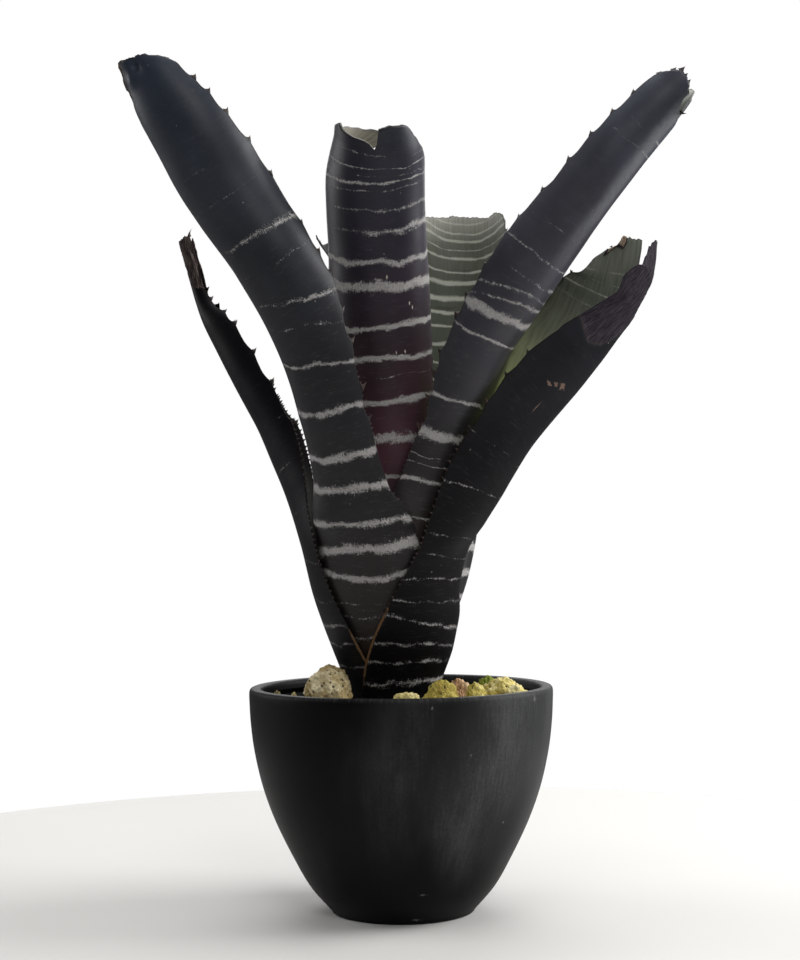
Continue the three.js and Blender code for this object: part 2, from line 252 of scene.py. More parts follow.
def makeCamera(look):
    pitch, roll = math.radians(look["pitch"]), math.radians(look["roll"])
    ahead = Vector((0, math.cos(pitch), math.sin(pitch)))
    right = Vector((1, 0, 0))
    up = right.cross(ahead)
    leaning = right * math.cos(roll) - up * math.sin(roll)
    upright = right * math.sin(roll) + up * math.cos(roll)
    camera = bpy.data.objects.new("camera", bpy.data.cameras.new("camera"))
    camera.data.lens = look["lens"]
    turn = Matrix((leaning, upright, -ahead)).transposed().to_4x4()
    camera.matrix_world = Matrix.Translation(look["at"]) @ turn
    scene.collection.objects.link(camera)
    scene.camera = camera


makeCamera(cameraPlace)


# Every leaf wraps the same vase-shaped base, which leans to the left, in mm and degrees
# vase and lean = heights, with the radii or the middle's x there
# jags = pace, shift and height of an end's waves; curlReach = how far from the end a curl grows
leafForm = {
    "layerStep": 2, "sheathThickness": 0.9, "bladeThickness": 1.3, "marginThickness": 0.6, "ripple": 0.35,
    "wrapTop": 165, "bladeFree": 230, "midribPoints": 401, "rowStep": 1.3, "columnStep": 1.3,
    "marginLine": 0.9, "endReach": 50, "curlReach": (45, 12), "mapSize": (100, 500), "seed": 4271,
    "jags": [(61, 0, 0.5), (143, 1, 0.3), (29, 2, 0.4)],
    "vase": ([100, 104, 111, 121, 133, 147, 159, 176, 190], [17, 18.8, 22.4, 25.8, 30.6, 35.6, 39, 41.7, 44]),
    "lean": ([121, 133, 147, 159, 176, 186], [-3, -3.1, -4.4, -6.4, -9.3, -9.8]),
}

# What a leaf has unless it says otherwise. Places across it run from -1 to 1, but those of the painted sheen,
# marks and patches are in mm from its middle.
leafUsual = {
    "heights": (101, 110, 121, 136, 152, 168),  # of the sheath's stations
    "aside": [(0, 0)], "trims": {},  # x shifted by height, mm cut from a margin by length
    "ragged": 0.4, "curl": 0,  # the end's jags, and how much more one half of it wraps
    "flares": [], "paleFlare": False,  # bent corners = from, to, reach back, shift; first one pale
    "combTo": 150, "spines": {}, "thorn": 1, "cut": 1,  # where spines are, their size, the scallops'
    "endSpines": [], "dents": [],  # across, length, half width, hook; from end, across, sizes, rise
    "dry": [], "torn": [(0, 400)],  # lines across; above them it is dead, or its inner face torn
    "sheathMargin": (150, 0.3),  # up to where the foot's margins are dead, and how much
    "crumple": 1.3, "shrunk": 0, "husk": ("171416", "382b29", "7a6453"),  # what is dead looks so
    "gloss": 0.34, "hair": 1, "paintedSheen": None,  # sheen = a pale strip painted as a highlight: across, half width, faint and full along
    "innerBands": None, "marks": [], "patches": [],  # marks, patches = across, along, half sizes
}

# layer = from the outermost in; sheath = facing, half wrap
# blade = midrib x, y, z, facing, flat width, wrap, depth; end = place across, length missing there
# bands = along the leaf, half height, strength, then tilt, bend and gain across it
leafRight = {
    "name": "leaf_right", "layer": 0, "ragged": 0.7, "gloss": 0.04, "thorn": 0.65, "cut": 0.6, "hair": 0.5,
    "crumple": 0.45, "shrunk": 0.8, "sheathMargin": (160, 0.8), "husk": ("1a171c", "2f2b31", "4c444c"),
    "endSpines": [(0.75, 1.4, 1, 0)],
    "sheath": [(-20, 140), (-20, 126), (-20, 110), (-31, 83), (-44, 53), (-43, 37)],
    "blade": [
        (29, -25, 185, -32, 52, 68), (41, -29, 201, -27, 62, 112), (53, -30, 219, -20, 74, 142),
        (73, -28, 247, -8, 80, 160, 1.1), (99.4, -18, 276, 10, 80, 170, 1.2),
        (120.6, -6, 305, 28, 78, 164, 1.3), (130, 0, 324, 38, 72, 158, 1.3),
        (133, 1, 338, 42, 61, 155, 1.25), (135, 0, 350, 42, 48, 148, 1.15),
    ],
    "aside": [(0, -0.7)],
    "end": [
        (-1, 3), (-0.8, -1), (-0.6, 0), (-0.45, 4), (-0.35, 10), (-0.2, 17), (0.02, 23), (0.1, 23),
        (0.14, -2.6), (0.4, -2.6), (0.6, -3.8), (0.68, 1.6), (0.8, 4), (0.9, 7), (1, 11),
    ],
    "trims": {
        -1: [(214, 0), (232, 3), (246, 4), (256, -1), (266, -2), (296, -4)],
        1: [
            (148, 0), (160, -11), (176, -14), (204, -14), (226, -12), (242, -6), (256, -4), (264, -4.2),
            (270, -1.5), (284, 2.2),
        ],
    },
    "spines": {-1: [150, 163, 176, 190, 320], 1: [270, 255, 252, 240, 228, 216, 204, 190, 173, 158]},
    "outer": [(0, "040404"), (0.16, "101010"), (0.3, "1b1a1b"), (0.6, "242427"), (1, "272a2f")],
    # the inner face is green, and its middle stops are brightened as painted light where that face lies in
    # shade
    "inner": [
        (0, "4a5430"), (0.6, "b8c47c"), (0.69, "a8ae8c"), (0.78, "707464"), (0.88, "5a5d55"), (1, "85897e"),
    ],
    "bands": [
        (12, 2.6, 0.34, 0.06), (22, 4, 0.42, 0.04), (33, 2.6, 0.3), (43, 3, 0.36, -0.04),
        (55, 3, 0.34, -0.16), (68, 2.4, 0.16), (79.5, 2, 0.2), (92, 2, 0.06), (104, 1.8, 0.1),
        (129.5, 1.4, 0.2, 0.1), (150, 1.6, -0.02),
    ],
    "innerBands": [
        (230, 2, 0.1), (244, 3, 0.16), (256, 3, 0.3), (265, 2.4, 0.4), (272, 2.4, 0.3), (280, 2.4, 0.3),
    ],
    "dry": [
        [(-1, 222), (-0.9, 221), (-0.62, 216), (-0.45, 222), (-0.21, 243), (-0.12, 262), (-0.05, 400)],
        [(0.44, 400), (0.5, 292), (0.66, 293), (0.84, 286), (0.9, 400)],
    ],
    "torn": [(0.46, 400), (0.52, 293.5), (0.66, 295), (0.8, 288.5), (0.88, 400)],
    "patches": [(-15.5, 192, 3.2, 3), (-19, 189.5, 2.4, 1.6), (-22, 187, 3.4, 1.4), (-17.5, 175, 0.45, 5)],
}

leafLeft = {
    "name": "leaf_left", "layer": 1, "combTo": 178, "ragged": 0.6, "gloss": 0.12, "thorn": 0.8, "hair": 0.4,
    "sheathMargin": (150, 0.8), "husk": ("1c191b", "3b3232", "7d6f66"),
    "endSpines": [(0.84, 5, 1.3, 3.4), (-0.8, 1.6, 0.9, 0)],
    "sheath": [(176, 92), (176, 90), (176, 80), (176, 66), (176, 56), (176, 48)],
    "blade": [
        (-52, 0, 192, 176, 57, 84), (-60, 3, 219, 177, 54, 106), (-73, 7, 252, 177, 54, 145),
        (-88, 11, 281, 178, 50, 170), (-101, 15, 307, 178, 41, 190), (-107, 16, 323, 176, 25, 250),
        (-112, 17, 338, 174, 25, 280), (-118, 18, 359, 172, 25, 300),
    ],
    "aside": [
        (101, -3), (130, -3.2), (150, -1.6), (175, 0), (200, -0.3), (250, -1.7), (323, -2.2), (340, -1.3),
    ],
    "end": [(-1, 1), (-0.5, 3), (0, 3), (0.4, 1.6), (0.7, 0.4), (1, 1.5)],
    "trims": dict.fromkeys((-1, 1), [
        (110, 0), (135, -4.5), (160, -5.5), (182, -4), (210, -3.2), (232, -2.5), (250, 0.8),
    ]),
    "spines": {-1: [248, 237, 225.7, 206, 186, 162], 1: [240, 229, 218, 198, 178, 154]},
    "outer": [(0, "0f0e0e"), (0.3, "0b0b10"), (0.6, "080912"), (1, "121012")],
    "inner": [(0, "10110e"), (0.5, "0c0d0b"), (1, "171413")],
    "bands": [
        (30, 2.6, 0.2), (42, 2.6, 0.3), (52, 3.4, 0.3), (66, 2.4, 0.14), (88, 2.4, 0.06), (112, 2, 0.04),
        (135, 2, 0.02), (160, 2, 0),
    ],
    "dry": [[(-1, 260), (-0.3, 254), (0.4, 249), (1, 246)]],
}

leafFrontLeft = {
    "name": "leaf_front_left", "layer": 2, "combTo": 188, "gloss": 0.3, "endSpines": [(0.9, 1.8, 1.2, 0)],
    "sheath": [(255, 95), (255, 93), (254, 88), (254, 72), (253, 60), (252, 54)],
    "blade": [
        (-21, -44, 193, 251, 64, 106), (-25, -49, 208, 248, 64, 118), (-29, -54, 225, 243, 62, 140),
        (-37, -63, 254, 238, 60, 140), (-50.4, -73, 289, 234, 61, 150), (-73, -85, 327, 231, 61, 160),
        (-97, -95, 365, 230, 65, 160), (-111.6, -103, 394, 231, 57, 150), (-120.5, -105, 411, 233, 42, 132),
        (-125, -105, 418, 235, 30, 112),
    ],
    "aside": [
        (193, 0), (225, -0.6), (254, -0.8), (289, 0.3), (327, 2.1), (365, 0.3), (394, -0.9), (411, 0),
        (418, 0.4),
    ],
    "end": [
        (-1, 8), (-0.8, 4.5), (-0.6, -0.6), (-0.45, -5), (-0.36, -6.6), (-0.2, -5.8), (0, -4.4), (0.1, -4.1),
        (0.2, -3.2), (0.4, -2.5), (0.6, -1.4), (0.7, 0.1), (0.8, 2), (0.9, 4.4), (1, 7.4),
    ],
    "trims": {
        -1: [(325, 0), (331, 2.4), (335, 0), (340, 1.4), (345, 0)],
        1: [
            (95, 0), (108, 1.5), (122, 8.5), (140, 9), (155, 7), (178, 3.5), (205, 0), (222, -7),
            (251, -8.6), (277, -9), (298, -7), (317, -4), (330, -2.4), (347, -1.2), (354, 0),
        ],
    },
    "spines": {1: [347.5, 339.5, 329.5, 317, 298.5, 277.5, 251.4, 236, 225, 208.4, 195, 173.6, 158]},
    "dents": [(1, 0.12, 3.2, 0.16, -2.2), (9, -0.75, 4, 0.2, -1.5), (5, -0.2, 3, 0.12, 1)],
    "outer": [
        (0, "453929"), (0.16, "28211e"), (0.3, "191617"), (0.45, "201f24"), (0.64, "282a30"),
        (0.78, "30343c"), (1, "2e3644"),
    ],
    "inner": [(0, "3a4030"), (0.6, "4a5240"), (1, "4a4f4a")],
    "bands": [
        (22, 4, 0.2), (34, 2.4, 0.1), (46, 4.5, 0.3), (58, 2.6, 0.14), (65, 2, 0.12),
        (78, 2.7, 0.88, 0, 0.006), (94.5, 3.3, 0.98, 0.08), (108.5, 2.8, 0.7, -0.08),
        (126.6, 3, 0.92, 0, -0.001), (143.5, 2.8, 0.92), (167.3, 2.4, 0.88, -0.05),
        (192.5, 2.2, 0.5, -0.17, 0, 0.006), (212, 2.6, 0.06, -0.27), (225, 3, 0.2, -0.22, 0, 0.012),
        (243, 2, -0.04), (259.5, 4, 0.14, -0.12, 0, 0.016), (281, 3, -0.06), (298, 3, -0.06),
    ],
    "dry": [[(-1, 336), (-0.75, 340), (-0.55, 352), (-0.3, 361), (0.1, 361), (0.3, 400)]],
}

leafBackRight = {
    "name": "leaf_back_right", "layer": 3,
    "endSpines": [(-0.9, 2.2, 1.4, 0), (-0.72, 1.6, 1, 0), (0.28, 2.2, 1.8, 0)],
    "heights": (101, 110, 121, 136, 148),
    "sheath": [(50, 100), (50, 98), (48, 95), (46, 92), (46, 88)],
    "blade": [
        (23, 29, 160, 47, 80, 165), (29, 33, 173, 45, 74, 162), (33, 38, 186, 45, 68, 156),
        (35, 43, 199, 48, 66, 148), (37, 52, 217, 58, 62, 134), (38, 62, 240, 66, 62, 124),
        (39, 76, 275, 72, 63, 118), (40, 88, 310, 74, 64, 112), (41, 99, 348, 75, 64, 106),
        (41, 107.4, 388, 76, 62, 98),
    ],
    "end": [
        (-1, 11), (-0.85, 4.5), (-0.7, 2.6), (-0.5, 4.4), (-0.25, 2), (0, 0.8), (0.25, -0.6), (0.3, 0.4),
        (1, 1),
    ],
    "trims": {-1: [(230, 0), (285, -1.5)]},
    "outer": [(0, "161414"), (0.3, "1c1b1d"), (0.6, "222328"), (1, "23272f")],
    "inner": [(0, "2f361e"), (0.65, "3c4330"), (0.85, "464b3d"), (0.94, "626459"), (1, "a5a59b")],
    "bands": [
        (44, 2, 0.8), (57, 2, 0.9), (70, 2.4, 0.95), (84, 2.5, 1), (97, 2.7, 1), (112, 2.2, 0.9),
        (128, 2.3, 0.9), (146, 2, 0.8), (165, 2.2, 0.85), (186, 1.8, 0.7), (206, 2, 0.75), (229, 1.6, 0.6),
        (252, 1.8, 0.65), (276, 1.3, 0.5), (294, 0.9, 0.4),
    ],
    "innerBands": [
        (190, 2.2, 0.8), (205, 2.2, 0.85), (216, 1.8, 0.65), (228, 2.2, 0.85), (239, 1.9, 0.7, 0.04),
        (248, 2, 0.85, 0.04), (257, 2.5, 0.95, 0.04), (266.5, 2.4, 0.95, 0.04, 0.004),
        (273.5, 1.7, 0.7, 0.06, 0.006), (282, 1.7, 0.8, 0.1, 0.006), (287, 1.3, 0.55, 0.1, 0.008),
        (293, 1.6, 0.85, 0.12, 0.009), (298, 1.4, 0.75, 0.12, 0.009), (304, 1.3, 0.7, 0.1, 0.009),
    ],
}

leafFrontRight = {
    "name": "leaf_front_right", "layer": 4, "combTo": 188, "gloss": 0.5, "thorn": 1.1, "paleFlare": True,
    # a pale strip painted as a highlight, just right of this leaf's middle on its upper part
    "paintedSheen": (8, 7, 215, 330),
    "endSpines": [
        (-0.93, 2.4, 1.5, 0), (-0.66, 2.4, 1.5, 0), (-0.48, 2.8, 1.6, 0), (-0.28, 2.2, 1.4, 0),
        (-0.08, 2, 1.3, 0),
    ],
    "flares": [(0.58, 0.72, 16, (-8.3, -3, 1)), (0.7, 1, 16, (3, -11, -4))],
    "sheath": [(312, 100), (312, 92), (312, 86), (312, 76), (311, 68), (310, 60)],
    "blade": [
        (16, -33, 191, 308, 56, 92), (23, -38, 219, 305, 54, 122), (32, -44, 249, 302, 52, 138),
        (46.5, -55, 286, 300, 52, 148), (64.3, -65, 314, 299, 56, 160), (88, -75, 348, 298, 53.4, 172),
        (113, -85, 381, 298, 47.6, 170), (130.6, -90, 400, 300, 39, 160), (140, -92, 409, 302, 33, 150),
    ],
    "aside": [(249, 0), (286, -0.5), (314, -1.3), (348, -0.9), (381, 0)],
    "end": [
        (-1, 6), (-0.85, 1.5), (-0.7, -1), (-0.5, -4), (-0.25, -4), (0, -2), (0.3, 2), (0.5, 4), (0.58, 7),
        (0.64, -3), (0.8, -6), (0.92, -6), (1, -3),
    ],
    "trims": {
        -1: [
            (105, 0), (128, 3), (150, 4.5), (165, 3.5), (190, 0), (225, 0), (240, -2), (256, -2.6),
            (270, -1.6), (284, 0.9), (325, 1.4), (345, 0),
        ],
    },
    "spines": {-1: [339.2, 326.4, 312.6, 296.8, 278, 261, 250.8, 233, 215.6, 206, 189, 178.8, 166.5, 151.7]},
    "outer": [(0, "2b201c"), (0.25, "2f2221"), (0.4, "221e21"), (0.7, "3b3a44"), (1, "474b58")],
    # the inner face turns pale towards the end, and its last stop is raised further as painted light on the
    # bent corner at the tip
    "inner": [(0, "3a4030"), (0.6, "49503e"), (0.9, "6b7066"), (0.97, "a2a79d"), (1, "d8dbd2")],
    "bands": [
        (60, 2, 0.3), (80, 2, 0.35), (95, 1.5, 0.5), (108, 1.5, 0.5), (126.5, 1.9, 0.76), (135.5, 0.9, 0.42),
        (139.5, 0.8, 0.4), (150.7, 2.8, 1.05), (170, 1.6, 0.74), (203.5, 1.4, 0.62), (216.5, 2.8, 1, 0.04),
        (226, 2.4, 0.4, 0.14, -0.004, 0.01), (232.5, 2.4, 0.36, 0.1, -0.006), (239.5, 2.4, 0.2, 0, 0, 0.02),
        (251.5, 1.8, 0.3), (268, 2.4, -0.02), (321, 1.2, 0.16, 0, 0, 0.014), (329.5, 1.2, 0.16, 0, 0, 0.014),
    ],
}

leafBack = {
    "name": "leaf_back", "layer": 5, "ragged": 0.6, "endSpines": [(0.97, 3.2, 1.6, 0)],
    "flares": [(0.3, 1, 26, (-7.8, 0, 0))],
    "sheath": [(125, 100), (125, 92), (125, 86), (124, 76), (122, 66), (118, 56)],
    "blade": [
        (-18, 32, 190, 116, 52, 88), (-18, 42, 216, 112, 46, 110), (-19, 54, 262, 108, 42, 125),
        (-22, 68, 309, 106, 36, 135), (-26, 84, 347, 106, 34, 140), (-30, 96, 370, 106, 32, 140),
    ],
    "end": [(-1, 10), (-0.6, 3), (0, 0), (0.6, 3), (0.8, 6.4), (0.9, 4.4), (1, 1.6)],
    "trims": {1: [(235, 0), (258, -3.5), (290, -3)]},
    "spines": {1: [278.5, 270, 261, 245, 228, 210, 192, 174, 158]},
    "outer": [(0, "151313"), (0.3, "1b1a1c"), (0.7, "1b1c22"), (1, "111216")],
    "inner": [(0, "343a2a"), (0.6, "3f4636"), (0.85, "2c2f2a"), (1, "101010")],
    "bands": [
        (50, 2, 0.7), (64, 2, 0.85), (80, 2.2, 0.9), (97, 2.3, 0.9), (115, 2, 0.85), (135, 2.2, 0.9),
        (157, 1.8, 0.7), (178, 2, 0.75), (203, 1.4, 0.5), (230, 1.5, 0.5), (258, 0.9, 0.35),
    ],
}

leafCentre = {
    "name": "leaf_centre", "layer": 6, "combTo": 188, "curl": 1.12,
    "endSpines": [
        (-0.5, 1.2, 0.9, 0), (-0.33, 1.2, 0.9, 0), (0.12, 1, 0.9, 0), (0.3, 1.1, 1, 0), (0.42, 1, 0.8, 0),
        (0.64, 1.6, 1, 0), (0.78, 1.9, 1.2, 0), (0.9, 1.9, 1.2, 0),
    ],
    "sheath": [(262, 110), (262, 105), (264, 100), (266, 94), (267, 85), (268, 76)],
    "blade": [
        (-5, -30, 194, 268, 60, 118), (-5, -33, 230, 268, 64, 140), (-7, -39, 265, 268, 72, 158),
        (-9.4, -50, 304, 268, 82, 178), (-10.4, -63, 337, 268, 86, 195), (-11.2, -78, 367, 268, 86, 200),
        (-10, -88, 384, 268, 77, 205), (-10, -93, 391, 268, 66, 205),
    ],
    "end": [
        (-1, 16.5), (-0.88, 15.5), (-0.7, 14.5), (-0.52, 11), (-0.4, 7), (-0.31, 1.8), (-0.2, 5.5),
        (-0.12, 6.5), (-0.06, 8.5), (0.02, 12.9), (0.05, 1), (0.25, 0), (0.5, 2), (0.6, 7), (0.75, 12),
        (0.88, 18), (1, 24),
    ],
    "outer": [(0, "331f20"), (0.45, "502f39"), (0.65, "2f2029"), (0.8, "2a2533"), (1, "292c38")],
    "inner": [(0, "3a4030"), (0.6, "4a5240"), (0.88, "77756b"), (0.96, "b9b4a8"), (1, "cfcabf")],
    "bands": [
        (95, 2, 0.6), (112, 2.2, 0.7), (130, 2.2, 0.8), (149.5, 3.3, 0.88), (168.5, 2.1, 0.98),
        (181, 0.5, 0.26), (190, 2.1, 0.9), (206.5, 2.2, 0.95), (227, 2.9, 1.05), (239.5, 2, 0.9),
        (255, 3.2, 0.36, 0, 0, 0.014), (265.5, 2, 0.28, 0, 0, 0.01), (275.3, 1.3, 0.22, 0, 0.0012),
        (279.5, 1.2, 0.62, 0, 0.0008), (287, 1, 0.36, 0, 0.0015), (283, 2, 0.06), (293, 2, 0.02),
    ],
    "marks": [
        (5.2, 232, 0.7, 2.4), (18.8, 215, 0.6, 2), (17, 217.5, 0.6, 1.8), (12.9, 193, 0.6, 1.8),
        (8, 193, 0.5, 1.5),
    ],
}

leaves = [leafRight, leafLeft, leafFrontLeft, leafBackRight, leafFrontRight, leafBack, leafCentre]


def stationsOf(leaf):  # rows of midrib x, y, z, facing, flat width, wrap and depth, from the foot up
    rows = []
    for z, (facing, half) in zip(leaf["heights"], leaf["sheath"]):
        radius = np.interp(z, *leafForm["vase"]) - leaf["layer"] * leafForm["layerStep"]
        lean, angle = np.interp(z, *leafForm["lean"]), math.radians(facing)
        x, y = lean + radius * math.cos(angle), radius * math.sin(angle)
        rows.append((x, y, z, facing, 2 * radius * math.radians(half), 2 * half, 1))
    for station in leaf["blade"]:
        rows.append(tuple(station) + (1,) * (7 - len(station)))
    rows = np.array(rows, float)
    rows[:, 0] += lineAt(leaf["aside"], rows[:, 2])
    return rows


# The midrib of one leaf as a curve that is read by its length
class Midrib:
    def __init__(self, leaf):
        self.rows = stationsOf(leaf)
        self.counts = np.linspace(0, len(self.rows) - 1, leafForm["midribPoints"])
        fine = between(self.rows, self.counts)
        steps = np.linalg.norm(np.diff(fine[:, :3], axis=0), axis=1)
        self.along = np.concatenate([[0], np.cumsum(steps)])
        self.length = self.along[-1]

    def pick(self, s):
        return between(self.rows, np.interp(s, self.along, self.counts))

    def frames(self, s):  # the leaf's place, axes, curve and thickness at told lengths
        now = self.pick(np.minimum(s, self.length))
        ahead = self.pick(np.minimum(s + 1, self.length))
        behind = self.pick(np.clip(s - 1, 0, self.length - 2))
        tangent = unit(ahead[:, :3] - behind[:, :3])
        freed = smoothstep(now[:, 2], leafForm["wrapTop"], leafForm["bladeFree"])
        up = unit(np.array([0, 0, 1.0]) * (1 - freed[:, None]) + tangent * freed[:, None])
        angle = np.radians(now[:, 3])
        out = np.stack([np.cos(angle), np.sin(angle), 0 * angle], -1)
        out = unit(out - up * np.sum(out * up, 1)[:, None])
        past = np.maximum(s - self.length, 0)[:, None]
        wrap = np.radians(now[:, 5])
        radius, half = now[:, 4] / wrap, wrap / 2
        sheath, blade = leafForm["sheathThickness"], leafForm["bladeThickness"]
        return {
            "middle": now[:, :3] + up * past, "out": out, "side": np.cross(up, out), "depth": now[:, 6],
            "radius": radius, "half": half, "breadth": radius * half, "freed": freed,
            "thick": sheath + (blade - sheath) * freed,
        }


def flareShare(flare, left, q):  # how far a corner of the end has bent away, 0 to 1
    start, full, back, _ = flare
    return smoothstep(q, start, full) * smoothstep(-left, -back, 0)


def skinAt(leaf, rib, s, q, inward=0, swell=0):
    # q runs from -1 to 1 across the leaf, inward is depth below the outer face
    f = rib.frames(s)
    left = rib.length - s
    far, near = leafForm["curlReach"]
    curled = leaf["curl"] * smoothstep(-left, -far, -near) * smoothstep(-q, 0, 0.2)
    angle = q * f["half"] * (1 + curled)
    radius = f["radius"] - inward + swell
    lift = (radius * np.cos(angle) - f["radius"]) * f["depth"]
    points = f["middle"] + f["out"] * lift[:, None] + f["side"] * (radius * np.sin(angle))[:, None]
    for flare in leaf["flares"]:
        points = points + flareShare(flare, left, q)[:, None] * np.array(flare[3])
    return points


def endAt(leaf, rib, q):  # where along the leaf its end lies, for places across it
    jags = sum(np.sin(q * pace + shift) * high for pace, shift, high in leafForm["jags"])
    return rib.length - lineAt(leaf["end"], q) + jags * leaf["ragged"]


def sheetOf(leaf, rib):  # rows of places along the leaf and columns across it
    wide = float(np.max(rib.rows[:, 4]))
    q = np.linspace(-1, 1, int(wide / leafForm["columnStep"]) + 1)
    near = leafForm["marginLine"] / wide  # an extra line of points just inside each margin
    q = np.sort(np.concatenate([q, [-1 + near, 1 - near]]))
    base = np.linspace(0, rib.length, int(rib.length / leafForm["rowStep"]) + 1)
    pulled = np.clip((base - rib.length + leafForm["endReach"]) / leafForm["endReach"], 0, 1)
    return base[:, None] + pulled[:, None] * (endAt(leaf, rib, q) - rib.length), q


def shellFaces(grid):  # an outer and an inner skin over a grid of points, joined all round
    total = grid.size
    a, b, c, d = grid[:-1, :-1], grid[:-1, 1:], grid[1:, 1:], grid[1:, :-1]
    left, right, foot, top = grid[:, 0], grid[:, -1], grid[0], grid[-1]
    faces = [
        np.stack([a, b, c, d], -1).reshape(-1, 4),
        np.stack([a, d, c, b], -1).reshape(-1, 4) + total,
        np.stack([left[:-1], left[1:], left[1:] + total, left[:-1] + total], -1),
        np.stack([right[:-1], right[:-1] + total, right[1:] + total, right[1:]], -1),
        np.stack([foot[1:], foot[:-1], foot[:-1] + total, foot[1:] + total], -1),
        np.stack([top[:-1], top[1:], top[1:] + total, top[:-1] + total], -1),
    ]
    return [tuple(int(k) for k in face) for face in np.vstack(faces)]


# The margins are scalloped between hooked spines, with a comb of small ones at the foot
spineForm = {
    "from": 150, "step": 15, "nearTip": 7, "tipReach": 60, "tipFree": 4, "length": 3.3, "root": 2,
    "hook": 1.9, "thickness": 0.42, "buried": 0.35, "sunk": 0.12, "taper": 1.3, "point": 0.04,
    "combFrom": 62, "combStep": 2.7, "combLength": 1.6, "combRoot": 0.8, "combHook": 0.5, "inset": 0.9,
    "scallop": 1.7, "fullScallop": 12, "rings": 6, "sides": 6, "dark": "181516", "pale": "4a3830",
}


def spinePlaces(leaf, side, length, draw):  # where the big spines and the comb stand along one margin
    big = sorted(leaf["spines"].get(side, []))
    if not big:
        s = spineForm["from"] + 10 * draw.random()
        while s < length - spineForm["tipFree"]:
            big.append(s)
            near = np.clip((length - s) / spineForm["tipReach"], 0, 1)
            step = spineForm["nearTip"] + (spineForm["step"] - spineForm["nearTip"]) * near
            s += step * draw.uniform(0.8, 1.15)
    comb, s = [], spineForm["combFrom"]
    while s < leaf["combTo"]:
        comb.append(s)
        s += spineForm["combStep"] * draw.uniform(0.75, 1.3)
    return big, comb


def reachOf(leaf, breadth, s, side, big):
    # the share of the half width that is left where the margin is cut in between spines
    places = np.array(big)
    after = np.clip(np.searchsorted(places, s), 1, len(places) - 1)
    low, high = places[after - 1], places[after]
    share = np.clip((s - low) / np.maximum(high - low, 1), 0, 1)
    rise = np.maximum((1 - share) ** 5, share ** 2.4)
    depth = spineForm["scallop"] * leaf["cut"] * np.clip((high - low) / spineForm["fullScallop"], 0, 1)
    cut = (spineForm["inset"] + depth * (1 - rise)) * smoothstep(s, places[0] - 8, places[0] + 6)
    return 1 - (cut + lineAt(leaf["trims"].get(side, [(0, 0)]), s)) / breadth


def spinesOf(leaf, rib, margins):
    # each spine's place along and across, its side, and its length, half width and hook
    thorn = [spineForm[key] * leaf["thorn"] for key in ("length", "root", "hook")]
    small = [spineForm[key] for key in ("combLength", "combRoot", "combHook")]
    spines = []
    for side, (big, comb) in margins.items():
        last = endAt(leaf, rib, np.array([float(side)]))[0]
        for spot, size in [(spot, thorn) for spot in big] + [(spot, small) for spot in comb]:
            if spot < last - 2:
                here = np.array([spot])
                edge = side * reachOf(leaf, rib.frames(here)["breadth"], here, side, big)[0]
                spines.append((spot, edge, side, size))
    for edge, *size in leaf["endSpines"]:  # side 0 is the end of the leaf
        spines.append((endAt(leaf, rib, np.array([edge]))[0] - 0.6, edge, 0, size))
    return spines


def addSpine(leaf, rib, spine, scale, points, faces):
    # a thorn as rings that shrink along a curve, closed at both ends and hooked towards up
    spot, edge, side, size = spine
    length, half, hook = (value * scale for value in size)
    places = np.array([edge, edge - 0.02 * side, edge, edge + 0.02])
    lengths = np.array([spot, spot, spot - 1, spot])
    root, inner, below, beside = skinAt(leaf, rib, lengths, places, spineForm["buried"])
    away, up = (root - inner, root - below) if side else (root - below, beside - root)
    away, up = unit(away), unit(up)
    out = unit(np.cross(up, away)) * spineForm["thickness"]
    first, sides = len(points), spineForm["sides"]
    for k in range(spineForm["rings"]):
        t = k / (spineForm["rings"] - 1)
        centre = root + away * length * (t - spineForm["sunk"]) + up * hook * t * t
        shrink = (1 - t) ** spineForm["taper"] + spineForm["point"]
        for j in range(sides):
            turn = 2 * math.pi * j / sides
            points.append(centre + up * half * shrink * math.cos(turn) + out * shrink * math.sin(turn))
    faces += tubeFaces(first, spineForm["rings"], sides)


def dryness(leaf, s, q, f):  # 0 is living, 1 is dead and brown
    dry = np.zeros(len(s))
    for line in leaf["dry"]:
        dry = np.maximum(dry, smoothstep(s - lineAt(line, q), -3, 4))
    margin = 1 - smoothstep((1 - np.abs(q)) * f["breadth"], 0.7, 2)
    high, strength = leaf["sheathMargin"]
    return np.maximum(dry, margin * (1 - smoothstep(f["middle"][:, 2], high - 12, high + 8)) * strength)


def swellOf(leaf, rib, s, q, f, dry, seed):
    # how far the skin stands out from the smooth leaf: ripples, crumpled dry parts and dents
    middle = skinAt(leaf, rib, s, q)
    swell = noiseAt(middle, 0.05, seed) * leafForm["ripple"] * f["freed"]
    crumple = leaf["crumple"] * smoothstep(dry, 0.4, 1) * f["freed"]
    swell -= np.abs(noiseAt(middle * [1, 1, 0.5], 0.32, seed)) * crumple
    swell -= leaf["shrunk"] * smoothstep(dry, 0.2, 1)
    for back, aside, long, wide, rise in leaf["dents"]:
        swell += rise * np.exp(-((s - rib.length + back) / long) ** 2 - ((q - aside) / wide) ** 2)
    return swell


def maskOf(leaf, rib, s, q, f, dry):
    # for each point how dry it is, how far it is inner face, with 2 for torn, and mm to the rim
    pale, torn = 0 * s, smoothstep(s - lineAt(leaf["torn"], q), -1, 2)
    if leaf["paleFlare"]:
        pale = smoothstep(flareShare(leaf["flares"][0], rib.length - s, q), 0.12, 0.3)
    rimGap = np.minimum((1 - np.abs(q)) * f["breadth"], endAt(leaf, rib, q) - s)
    return np.vstack([np.stack([dry, shown, rimGap], -1) for shown in (pale, 1 + torn)])


